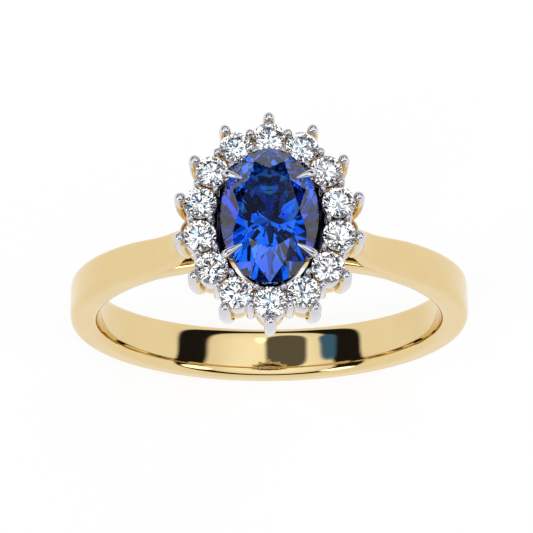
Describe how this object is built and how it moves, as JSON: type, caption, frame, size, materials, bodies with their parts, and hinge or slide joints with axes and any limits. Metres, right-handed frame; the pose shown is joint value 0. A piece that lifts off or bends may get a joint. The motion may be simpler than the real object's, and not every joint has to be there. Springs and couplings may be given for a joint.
{
  "type": "engagement ring",
  "caption": "Two-tone gold finger ring with a raised oval blue stone in claws inside an oval halo of small round white stones.",
  "frame": {"origin": "centre of the finger hole, midway through the band", "axes": "+Z from the finger to the head of the ring, +Y along the finger and along the oval's long way, +X across the finger"},
  "size_m": [0.0198, 0.0098, 0.024],
  "materials": {
    "yellow_gold": "mirror polished",
    "white_gold": "rhodium plated, mirror polished",
    "sapphire": "brilliant cut facets, polished",
    "diamond": "brilliant cut facets, polished"
  },
  "bodies": {
    "root": {"shank": "yellow_gold", "gallery_plate": "yellow_gold", "gallery_struts": "yellow_gold", "head_saddle": "yellow_gold", "basket_lower_rail": "yellow_gold", "basket_seat_rail": "white_gold", "centre_sapphire": "sapphire", "centre_claw_front_left": "white_gold", "centre_claw_front_right": "white_gold", "centre_claw_back_right": "white_gold", "centre_claw_back_left": "white_gold", "halo_cup_01": "white_gold", "halo_cup_02": "white_gold", "halo_cup_03": "white_gold", "halo_cup_04": "white_gold", "halo_cup_05": "white_gold", "halo_cup_06": "white_gold", "halo_cup_07": "white_gold", "halo_cup_08": "white_gold", "halo_cup_09": "white_gold", "halo_cup_10": "white_gold", "halo_cup_11": "white_gold", "halo_cup_12": "white_gold", "halo_cup_13": "white_gold", "halo_cup_14": "white_gold", "halo_diamond_01": "diamond", "halo_diamond_02": "diamond", "halo_diamond_03": "diamond", "halo_diamond_04": "diamond", "halo_diamond_05": "diamond", "halo_diamond_06": "diamond", "halo_diamond_07": "diamond", "halo_diamond_08": "diamond", "halo_diamond_09": "diamond", "halo_diamond_10": "diamond", "halo_diamond_11": "diamond", "halo_diamond_12": "diamond", "halo_diamond_13": "diamond", "halo_diamond_14": "diamond", "outer_claw_01": "white_gold", "outer_claw_02": "white_gold", "outer_claw_03": "white_gold", "outer_claw_04": "white_gold", "outer_claw_05": "white_gold", "outer_claw_06": "white_gold", "outer_claw_07": "white_gold", "outer_claw_08": "white_gold", "outer_claw_09": "white_gold", "outer_claw_10": "white_gold", "outer_claw_11": "white_gold", "outer_claw_12": "white_gold", "outer_claw_13": "white_gold", "outer_claw_14": "white_gold", "shared_outer_claws": "white_gold", "shared_inner_claws": "white_gold"}
  },
  "joints": []
}
